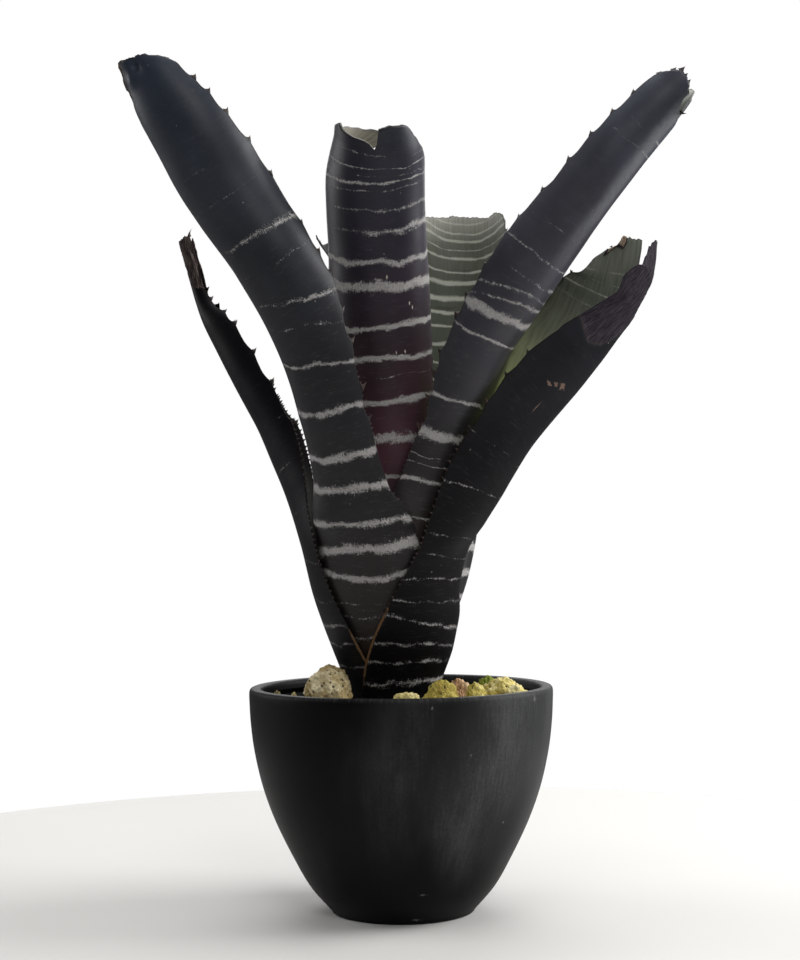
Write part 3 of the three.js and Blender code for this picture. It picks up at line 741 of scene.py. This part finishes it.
# Finishes of a leaf: scurfy silver bands on dark skin, green inner face, dry brown patches and a pale strip
# painted as a highlight
leafLooks = {
    "cloud": "151517", "band": "cac7c4", "bandDim": "7c7978", "paintedSheen": "8d8f92", "dust": "b8b2a6",
    "innerBand": "b6b7aa", "streak": "30352a", "rim": "1d1716", "scab": "7d665b", "torn": "b8a28c",
    "sheathEdge": "7a5c3c", "roughness": 0.38,
}

# Noise that the finishes of a leaf share = pace across and along it, shift, detail, roughness
leafGrains = {
    "wander": (0.06, 0.05, 0, 3, 0.5), "fibres": (1.9, 0.55, 3, 3, 0.6),
    "specks": (3.2, 2.2, 7, 2, 0.6), "mottle": (0.12, 0.3, 11, 2, 0.5),
    "dashes": (0.6, 2.2, 13, 3, 0.6), "crossing": (0.16, 2.6, 17, 2, 0.5),
    "cloud": (0.05, 0.03, 23, 3, 0.5), "streaks": (1.1, 0.06, 31, 3, 0.5),
    "wrinkle": (1.7, 0.14, 41, 5, 0.65),
}


def bandField(along, across, bands):
    # the tallest of the bands' tents: strength at a band's middle, falling away to both sides
    square = across * across
    field = None
    for at, half, strength, *rest in bands:
        tilt, bend, gain = (rest + [0, 0, 0])[:3]
        line = along - at
        if tilt:
            line = line - across * tilt
        if bend:
            line = line - square * bend
        tent = strength - abs(line) * (1 / half)
        if gain:
            tent = tent + across * gain
        field = tent if field is None else field.atLeast(tent)
    return field


def outerSkin(paint, leaf, across, along, tone, grain, seed):
    # dark skin with fine cross hairs, bands and dust, a pale strip painted as a highlight where the leaf has
    # one, and how much scurf covers it
    fibres, specks, mottle = grain["fibres"], grain["specks"], grain["mottle"]
    rough = (fibres - 0.5) * 1.6 + (specks - 0.5) * 1.2 + (mottle - 0.5) * 1.3 + (grain["dashes"] - 0.5) * 0.9
    cover = bandField(along + (grain["wander"] - 0.5) * 7, across, leaf["bands"])
    cover = (cover + rough).rising(0.06, 0.62) * (1 - specks.rising(0.56, 0.72) * 0.45)
    skin = paint.ramp(tone, leaf["outer"])
    skin = paint.mixed(grain["cloud"].rising(0.3, 0.75) * 0.45, skin, leafLooks["cloud"])
    hair = grain["crossing"].rising(0.53, 0.75) * mottle.rising(0.4, 0.62) * fibres.rising(0.35, 0.6)
    skin = paint.mixed(hair * (0.34 - tone * 0.2) * leaf["hair"], skin, leafLooks["bandDim"])
    # painted highlight: a pale sheen strip along the leaf, where light falls on it
    if leaf["paintedSheen"]:
        at, half, low, high = leaf["paintedSheen"]
        strip = 1 - abs(across - at + (grain["wander"] - 0.5) * 6) * (1 / half)
        strip = strip.rising(0, 0.9) * along.rising(low, high)
        skin = paint.mixed(strip * (fibres * 0.8 + 0.16), skin, leafLooks["paintedSheen"])
    scurf = paint.mixed(specks.rising(0.35, 0.65), leafLooks["bandDim"], leafLooks["band"])
    skin = paint.mixed(cover * 0.92, skin, scurf)
    dust = paint.cells(paint.vector(across * 0.11, along * 0.07, seed))
    skin = paint.mixed((1 - dust.rising(0.015, 0.035)) * 0.5, skin, leafLooks["dust"])
    if leaf["marks"]:
        skin = paint.mixed(spotField(across, along, leaf["marks"], fibres - 0.7), skin, leafLooks["dust"])
    return skin, cover


def innerFace(paint, leaf, across, along, tone, grain):  # streaked green with softer bands
    face = paint.ramp(tone, leaf["inner"])
    face = paint.mixed(grain["streaks"].rising(0.35, 0.75) * 0.35, face, leafLooks["streak"])
    pale = bandField(along + (grain["wander"] - 0.5) * 4, across, leaf["innerBands"] or leaf["bands"])
    pale = (pale + (grain["mottle"] - 0.5) * 0.9 + (grain["fibres"] - 0.5) * 0.7).rising(0.05, 0.7)
    return paint.mixed(pale * 0.8, face, leafLooks["innerBand"])


def driedLeaf(paint, leaf, along, torn, wrinkle):  # browner at the foot, pale where it is torn
    husk = paint.ramp(wrinkle, zip((0.32, 0.5, 0.7), leaf["husk"]))
    husk = paint.mixed((1 - along.rising(60, 120)) * 0.75, husk, leafLooks["sheathEdge"])
    return paint.mixed(torn * wrinkle.rising(0.3, 0.55), husk, leafLooks["torn"])


def leafFinish(leaf, length, seed):
    paint = finishCalled(leaf["name"] + "Skin")
    u, v, _ = paint.split(paint.node("UVMap", {"uv_map": "leafMap"}))
    across, along = (u - 0.5) * leafForm["mapSize"][0], v * leafForm["mapSize"][1]
    dry, inner, rimGap = paint.split(paint.node("Attribute", {"attribute_name": "leafMask"}, take=1))
    grain = {}
    for name, (paceX, paceY, shift, detail, rough) in leafGrains.items():
        where = paint.vector(across * paceX, along * paceY, seed + shift)
        grain[name] = paint.grain(where, 1, detail, rough)
    fibres, mottle, wrinkle = grain["fibres"], grain["mottle"], grain["wrinkle"]

    tone = along * (1 / length)
    skin, cover = outerSkin(paint, leaf, across, along, tone, grain, seed)
    colour = paint.mixed(inner, skin, innerFace(paint, leaf, across, along, tone, grain))
    colour = paint.mixed((1 - rimGap.rising(0.2, 1.1)) * 0.6, colour, leafLooks["rim"])
    edge = (dry + (wrinkle - 0.5) * 0.8 + (mottle - 0.5) * 0.5).rising(0.35, 0.6)
    colour = paint.mixed(edge, colour, driedLeaf(paint, leaf, along, inner.rising(1.2, 1.8), wrinkle))
    burnt = (1 - abs(edge - 0.5) * 2) * 0.14
    colour = paint.mixed(burnt, colour, leafLooks["sheathEdge"])
    if leaf["patches"]:
        scab = spotField(across, along, leaf["patches"], (grain["dashes"] + fibres) * 1.6 - 1.8)
        colour = paint.mixed(scab * 0.85, colour, leafLooks["scab"])

    roughness = cover * 0.3 + edge * 0.35 + inner * 0.1 + mottle * 0.12 + leafLooks["roughness"]
    height = fibres * 0.25 + cover * 0.5 + wrinkle * edge * 3
    return paint.surface(colour, roughness, paint.bump(height, 0.35, 0.0006), leaf["gloss"])


def spineFinish():
    paint = finishCalled("spineHorn")
    shade = paint.grain(paint.where(), 900, 2)
    colour = paint.mixed(shade.rising(0.35, 0.7), spineForm["dark"], spineForm["pale"])
    return paint.surface(colour, shade * 0.2 + 0.36, gloss=0.3)


def addChart(piece, placed):  # a map of the leaf laid flat, which its finish reads
    chart = piece.data.uv_layers.new(name="leafMap")
    corners = np.zeros(len(piece.data.loops), int)
    piece.data.loops.foreach_get("vertex_index", corners)
    spots = np.array(placed)[corners] / leafForm["mapSize"] + [0.5, 0]
    chart.data.foreach_set("uv", spots.astype(np.float32).ravel())


def makeLeaf(leaf, index, horn):
    rib = Midrib(leaf)
    seed, draw = 10.0 * index + 1.7, np.random.default_rng(leafForm["seed"] + index)
    margins = {side: spinePlaces(leaf, side, rib.length, draw) for side in (-1, 1)}
    sheet, q = sheetOf(leaf, rib)
    s, across = sheet.ravel(), np.tile(q, len(sheet))
    f = rib.frames(s)

    left, right = (reachOf(leaf, f["breadth"], s, side, margins[side][0]) for side in (-1, 1))
    spread = across * (1 - (1 - np.where(across < 0, left, right)) * np.abs(across) ** 4)
    dry = dryness(leaf, s, across, f)
    swell = swellOf(leaf, rib, s, across, f, dry, seed)
    thick = f["thick"] + (leafForm["marginThickness"] - f["thick"]) * np.abs(across) ** 3
    points = [*skinAt(leaf, rib, s, spread, 0, swell), *skinAt(leaf, rib, s, spread, thick, swell)]
    faces = shellFaces(np.arange(len(s)).reshape(sheet.shape))
    placed = list(zip(across * f["breadth"], s)) * 2
    skinPoints, skinFaces = len(points), len(faces)

    spines = spinesOf(leaf, rib, margins)
    for spine in spines:
        before = len(points)
        addSpine(leaf, rib, spine, draw.uniform(0.85, 1.15), points, faces)
        spot, edge = spine[:2]
        placed += [(edge * rib.frames(np.array([spot]))["breadth"][0], spot)] * (len(points) - before)

    slots = [0] * skinFaces + [1] * (len(faces) - skinFaces)
    skins = [leafFinish(leaf, rib.length, seed), horn]
    piece = pieceFrom(leaf["name"] + "Blade", np.array(points) * mm, faces, skins, slots)
    addChart(piece, placed)
    mask = np.zeros((len(points), 3))
    mask[:skinPoints] = maskOf(leaf, rib, s, across, f, dry)
    noteOn(piece, "leafMask", mask)
    print(leaf["name"], round(rib.length), "mm long,", len(faces), "faces,", len(spines), "spines")
    settle(piece, "leaf", leaf["name"])


horn = spineFinish()
for index, leaf in enumerate(leaves):
    makeLeaf({**leafUsual, **leaf}, index, horn)
print("leaves made")


# The pot: a matte black bowl with a rolled lip and four drain holes
# bowl = radius and height; lip and lipInside = from the rim and from the mouth, both from the top
# scuffs = turn and height, half sizes in radians and metres; the last one, high on the rim, is a painted
# highlight
pot = {
    "height": 117, "rim": 80, "mouth": 73.5, "base": 38, "wall": 3, "lipDepth": 4.5, "floor": 4, "middle": 6,
    "drainRadius": 3.5, "drainCircle": 22, "drains": 4, "sides": 144, "soilTop": 104,
    "bowl": [
        (38, 1.2), (49, 14), (58.1, 30), (66.8, 48), (73.1, 65.5), (77.3, 83.5), (79.3, 99), (80, 112),
    ],
    "lip": [(0, -2.2), (-0.25, -1.1), (-0.8, -0.35), (-1.6, 0)],
    "lipInside": [(1.8, 0), (0.8, -0.35), (0.2, -1.2), (0, -2.4), (0, -4.5)],
    # foot is painted shade, which the pot takes low down and on its left side; the haze colour is painted
    # only on its lit part
    "foot": "030303", "colour": "2f3031", "hazeAndSheen": "4f5050", "scuffAndHighlight": "666665",
    "scuffsAndHighlight": [
        (-1.122, 0.089, 0.02, 0.0014), (-0.949, 0.082, 0.012, 0.001), (-0.747, 0.0525, 0.02, 0.0014),
        (-1.38, 0.0177, 0.06, 0.0007), (-1.4, 0.0028, 0.09, 0.0016), (-0.576, 0.1135, 0.03, 0.003),
        (-1.382, 0.1125, 0.012, 0.0016),
    ],
}


def bowlLine(steps):
    rows = np.array(pot["bowl"], float)
    return between(rows, np.linspace(0, len(rows) - 1, steps))


def bowlRadius(z):
    return lineAt([(high, wide) for wide, high in pot["bowl"]], z)


def potOutline():
    top, base, wall = pot["height"], pot["base"], pot["wall"]
    outside = [(pot["middle"], 0), (base - 1.2, 0), (base - 0.5, 0.3)] + [tuple(p) for p in bowlLine(60)]
    lip = [(pot["rim"] + x, top + z) for x, z in pot["lip"]]
    lip += [(pot["mouth"] + x, top + z) for x, z in pot["lipInside"]]
    shoulder = top - pot["lipDepth"] - wall
    inside = [(bowlRadius(shoulder) - wall, shoulder)]
    inside += [(r - wall, z) for r, z in bowlLine(40)[::-1] if pot["floor"] + 6 < z < shoulder]
    return outside + lip + inside + [(base - 1, pot["floor"]), (pot["middle"], pot["floor"])]


def potFinish():
    paint = finishCalled("potPlastic")
    x, y, z = paint.split(paint.where())
    turn = x.maths("ARCTAN2", y, x)
    streak = paint.grain(paint.vector(turn * 60, z * 70), 1, 5, 0.65)
    broad = paint.grain(paint.vector(turn * 2.6, z * 14, 4), 1, 3)
    fine = paint.grain(paint.vector(x, y, z), 700, 3, 0.6)
    # painted light and shade: near black low down and on the left side, where the pot is in shade, and its
    # own colour higher up and to the right
    lit = (z + (broad - 0.5) * 0.05).rising(0.015, 0.08)
    lit = lit * (x - z * 0.55 + (broad - 0.5) * 0.05).rising(-0.085, 0.02)
    # paler streaky haze on the plastic, painted only where the painted light falls, so it is partly a painted
    # sheen
    hazeAndSheen = (streak * 0.8 + fine * 0.6 + (broad - 0.5) * 1.3).rising(0.5, 1.2) * lit
    colour = paint.mixed(lit, pot["foot"], pot["colour"])
    colour = paint.mixed(hazeAndSheen * 0.7, colour, pot["hazeAndSheen"])
    # scuffs on the plastic, and one painted highlight on the rim
    scratchAndHighlight = spotField(turn, z + (fine - 0.5) * 0.0012, pot["scuffsAndHighlight"], (fine - 0.62) * 2.4)
    # the top of the rim is painted paler in streaks
    paleRimTop = z.rising(0.1145, 0.117) * streak.rising(0.4, 0.7) * 0.25
    colour = paint.mixed(scratchAndHighlight * 0.6 + paleRimTop, colour, pot["scuffAndHighlight"])
    roughness = 0.5 + hazeAndSheen * 0.12 + (fine - 0.5) * 0.1
    normal = paint.bump(streak * 0.5 + fine * 0.5, 0.12, 0.0003)
    return paint.surface(colour, roughness, normal, 0.1)


def drainCutter(angle):
    mesh = bmesh.new()
    wide, deep = pot["drainRadius"] * mm, 4 * pot["floor"] * mm
    bmesh.ops.create_cone(mesh, cap_ends=True, segments=32, radius1=wide, radius2=wide, depth=deep)
    place = Vector((pot["drainCircle"] * math.cos(angle), pot["drainCircle"] * math.sin(angle), 0))
    bmesh.ops.translate(mesh, verts=mesh.verts, vec=place * mm)
    data = bpy.data.meshes.new("drain")
    mesh.to_mesh(data)
    mesh.free()
    cutter = bpy.data.objects.new("drain", data)
    scene.collection.objects.link(cutter)
    return cutter


def makePot():
    points, faces = turnedMesh(potOutline(), pot["sides"])
    shell = pieceFrom("potShell", points * mm, faces, [potFinish()])
    cutters = [drainCutter((k + 0.5) * 2 * math.pi / pot["drains"]) for k in range(pot["drains"])]
    for cutter in cutters:
        cut = shell.modifiers.new("drain", "BOOLEAN")
        cut.operation, cut.solver, cut.object = "DIFFERENCE", "EXACT", cutter
    bpy.context.view_layer.update()
    cutShell = shell.evaluated_get(bpy.context.evaluated_depsgraph_get())
    cutMesh = bpy.data.meshes.new_from_object(cutShell)
    shell.modifiers.clear()
    shell.data = cutMesh
    shell.data.polygons.foreach_set("use_smooth", [True] * len(shell.data.polygons))
    shell.data.set_sharp_from_angle(angle=math.radians(40))
    for cutter in cutters:
        bpy.data.objects.remove(cutter)
    settle(shell, "pot_plastic", "pot")


makePot()
print("pot made")


# Potting mix: one body that fills the pot, crumbly on top; lumps = pace, shift and height
soil = {
    "gap": 0.45, "rings": 90, "sides": 240, "lumps": [(0.16, 0, 0.9), (0.5, 9, 0.7), (1.3, 21, 0.35)],
    "crumbs": 420, "seed": 77, "dark": "17110d", "brown": "33261c", "fleck": "6b5a44",
}


def soilFinish():
    paint = finishCalled("pottingMix")
    where = paint.where()
    clod = paint.grain(where, 180, 4, 0.65)
    fleck = paint.cells(where, 420)
    colour = paint.mixed(clod.rising(0.35, 0.7), soil["dark"], soil["brown"])
    colour = paint.mixed((1 - fleck.rising(0.12, 0.25)) * clod.rising(0.5, 0.65), colour, soil["fleck"])
    normal = paint.bump(clod, 0.8, 0.001)
    return paint.surface(colour, clod * 0.1 + 0.86, normal)


def soilRadius(z):
    return float(bowlRadius(z)) - pot["wall"] - soil["gap"]


def makeSoil():
    floor, top = pot["floor"] + 0.3, pot["soilTop"]
    shoulder = top - 1.2
    edge = soilRadius(shoulder)
    outline = [(0.5, floor), (pot["base"] - 2, floor)]
    outline += [(soilRadius(z), z) for z in np.linspace(12, shoulder, 24)]
    outline += [(r, top - 0.6) for r in np.linspace(edge - 0.6, 0.5, soil["rings"])]
    points, faces = turnedMesh(outline, soil["sides"])
    radius = np.hypot(points[:, 0], points[:, 1])
    upper = points[:, 2] > top - 0.9
    lumps = sum(noiseAt(points, pace, shift) * high for pace, shift, high in soil["lumps"])
    points[:, 2] += np.where(upper, lumps * smoothstep(edge - radius, 0, 3) - 0.3, 0)
    points, draw = list(points), np.random.default_rng(soil["seed"])
    ball, ballFaces = ballOf(2)
    for _ in range(soil["crumbs"]):
        r, turn = edge * math.sqrt(draw.uniform(0.09, 0.93)), draw.uniform(0, 2 * math.pi)
        size = draw.uniform(0.5, 1.5) * np.array([draw.uniform(0.8, 1.3), 1, draw.uniform(0.6, 1)])
        centre = np.array([r * math.cos(turn), r * math.sin(turn), top - 0.5 + 0.2 * size[2]])
        swollen = ball * (1 + 0.28 * noiseAt(ball, 1.7, draw.uniform(0, 90))[:, None])
        first = len(points)
        points += list(centre + swollen * size)
        faces += [tuple(first + k for k in face) for face in ballFaces]
    fill = pieceFrom("pottingMixFill", np.array(points) * mm, faces, [soilFinish()])
    settle(fill, "potting_mix", "potting_mix")


makeSoil()


# Pumice: each stone keeps the solid's lump and gains pores
# stones = place, size, how mossy, darker and paler colour
stoneForm = {
    "seat": 0.72, "bed": 104.3, "porePitch": 0.42, "poreDepth": 0.75, "fine": 6, "seed": 4271,
    # the pore colour is painted shade in the pores, pits and cracks
    "green": "7d8a22", "grit": "6f6344", "poreShade": "2c2416",
}
stones = {
    "pumice_left": ((-38, -24), (25, 22, 25), 0.02, "b09a68", "eee2bc"),
    "pumice_left_small": ((-55, -32), (9, 8, 12), 0.08, "96865a", "c8b888"),
    "pumice_left_edge": ((-64, -18), (8, 8, 12), 0.06, "8d7d55", "c8b888"),
    "pumice_front": ((3, -46), (20, 15, 14), 0.15, "bdae68", "e0d49a"),
    "pumice_right": ((21, -40), (21, 16, 17.4), 0.3, "9c8a37", "c6b560"),
    "pumice_right_pink": ((31, -13), (12, 12, 17), 0.05, "b88c64", "dcc49c"),
    "pumice_right_mid": ((38, -38), (12, 12, 17), 0.25, "c4b250", "f0e29a"),
    "pumice_right_wide": ((54, -23), (27, 21, 18), 0.2, "dac96e", "f8ecb4"),
    "pumice_right_mossy": ((46, -1), (13, 12, 16.5), 0.8, "6d7a2c", "a4ac54"),
}


def stoneDraw(seed):  # the repeatable draw that shaped the solid
    state, factor, limit = seed, 16807, 2147483647
    while True:
        state = state * factor % limit
        yield state / limit


def stoneFinish(name, moss, tones, seed):
    paint = finishCalled(name + "Face")
    where = paint.where()
    pit = paint.node("Attribute", {"attribute_name": "pit"}, take=2)
    blotch = paint.grain(where, 120 + seed, 3, 0.6)
    grit = paint.grain(where, 900, 3, 0.7)
    holes = 1 - paint.cells(where, 950).rising(0.12, 0.3)
    colour = paint.mixed(blotch.rising(0.35, 0.7), *tones)
    mossy = (blotch * 0.5 + paint.grain(where, 70 + seed, 2) * 0.5 + moss).rising(0.75, 1.15)
    colour = paint.mixed(mossy * 0.8, colour, stoneForm["green"])
    colour = paint.mixed(grit.rising(0.52, 0.75) * 0.5, colour, stoneForm["grit"])
    # painted shade: pores, pits and cracks go dark where their hollows lie in shade
    colour = paint.mixed((holes * 0.55).atLeast(pit.rising(0.15, 0.8) * 0.9), colour, stoneForm["poreShade"])
    normal = paint.bump(grit * 0.6 - holes * 0.8, 0.7, 0.0004)
    return paint.surface(colour, grit * 0.1 + 0.84, normal)


def makeStone(name, stone, index):
    (x, y), size, moss, *tones = stone
    draw, waves = stoneDraw(stoneForm["seed"] + 97 * index), []
    for _ in range(5):
        way = unit(np.array([next(draw) - 0.5 for _ in range(3)]))
        pace, phase = 2 + 3 * next(draw), 6 * next(draw)
        waves.append((way, pace, phase, 0.035 + 0.03 * next(draw)))
    ball, faces = ballOf(stoneForm["fine"])
    swell = 0.97 + sum(deep * np.sin(pace * ball @ way + phase) for way, pace, phase, deep in waves)
    size = np.array(size, float)
    real = ball * size / 2
    knobs = noiseAt(real, 0.28, index * 5.0) * 1.3 + noiseAt(real, 0.8, index * 7.0) * 0.6
    cracks = 1 - smoothstep(np.abs(noiseAt(real, 0.2, index * 13.0)), 0, 0.16)
    pits = 1 - smoothstep(pitsAt(real, stoneForm["porePitch"], index * 3.0), 0.12, 0.42)
    pits *= smoothstep(noiseAt(real, 0.3, index * 11.0), -0.35, 0.25)
    pits = np.maximum(pits, cracks * 0.3)
    shrink = (knobs - 0.45 - stoneForm["poreDepth"] * pits) / (size.min() / 2)
    point = ball * (swell + shrink)[:, None]
    rise = np.maximum(point[:, 2], -stoneForm["seat"]) + stoneForm["seat"]  # cut flat where it sits
    points = np.stack([
        x + point[:, 0] * size[0] / 2, y + point[:, 1] * size[1] / 2,
        stoneForm["bed"] + rise * size[2] / (1 + stoneForm["seat"]),
    ], -1)
    piece = pieceFrom(name + "_stone", points * mm, faces, [stoneFinish(name, moss, tones, index)])
    # where the pits and cracks lie, for the shade that the finish paints in them
    noteOn(piece, "pit", pits)
    settle(piece, "pumice", name)


for index, (name, stone) in enumerate(stones.items()):
    makeStone(name, stone, index)
print("soil and stones made")


# The stem stays as the solid, in brown fibre
stemLooks = {"dark": "3a2b1d", "pale": "6d5538"}


def stemFinish():
    paint = finishCalled("stemFibre")
    x, y, z = paint.split(paint.where())
    fibre = paint.grain(paint.vector(x * 900, y * 900, z * 90), 1, 3)
    colour = paint.mixed(fibre.rising(0.3, 0.7), stemLooks["dark"], stemLooks["pale"])
    normal = paint.bump(fibre, 0.5, 0.0005)
    return paint.surface(colour, fibre * 0.2 + 0.7, normal)


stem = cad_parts["stem"]
for place in stem.material_slots:
    place.material = stemFinish()


# A pale floor and soft light from the sides, from above and from behind
# lamps = name, place in metres, size and power
studio = {
    "floorTones": ("d9d8d5", "d4d3d0"), "floorRings": (0.2, 200, 440), "floorSides": 128,
    "light": "ffffff", "backdrop": 1.0, "fill": 0.16, "aim": (0, 0, 0.2),
    "lamps": [
        ("lampRight", (1.15, 0.1, 0.7), 0.8, 17.0),
        ("lampLeft", (-1.15, 0.35, 0.6), 0.8, 5.0),
        ("lampBack", (0.1, 1.4, 1.1), 1.4, 15.0),
        ("lampTop", (0.1, -0.2, 1.7), 1.0, 10.0),
        ("lampFront", (0.5, -1.7, 1.0), 0.7, 9.0),
    ],
}


def makeFloor():
    sides = studio["floorSides"]
    points, faces = turnedMesh([(r, 0) for r in studio["floorRings"]], sides, closed=False)
    faces.append(tuple(range(sides)))
    floor = pieceFrom("studioFloor", points * mm, [tuple(reversed(f)) for f in faces], [])
    paint = finishCalled("studioFloorPaint")
    tone = paint.mixed(paint.grain(paint.where(), 3, 2), *studio["floorTones"])
    floor.data.materials.append(paint.surface(tone, 0.8))


def makeLights():
    for name, at, size, power in studio["lamps"]:
        lamp = bpy.data.objects.new(name, bpy.data.lights.new(name, "AREA"))
        lamp.data.size, lamp.data.energy = size, power
        lamp.location = at
        lamp.rotation_mode = "QUATERNION"
        lamp.rotation_quaternion = (Vector(at) - Vector(studio["aim"])).to_track_quat("Z", "Y")
        lamp.visible_camera = False
        scene.collection.objects.link(lamp)
    world = Finish(bpy.data.worlds.new("studioLight"))
    light = rgb(studio["light"])
    dim = world.node("Background", {}, {"Color": light, "Strength": studio["fill"]})
    bright = world.node("Background", {}, {"Color": light, "Strength": studio["backdrop"]})
    seen = world.node("LightPath")  # 1 for what the camera sees itself
    both = world.node("MixShader", {}, {0: seen, 1: dim, 2: bright})
    world.node("OutputWorld", {}, {"Surface": both})
    scene.world = world.holder
    scene.view_settings.view_transform = "Standard"


makeFloor()
makeLights()
print("studio made")
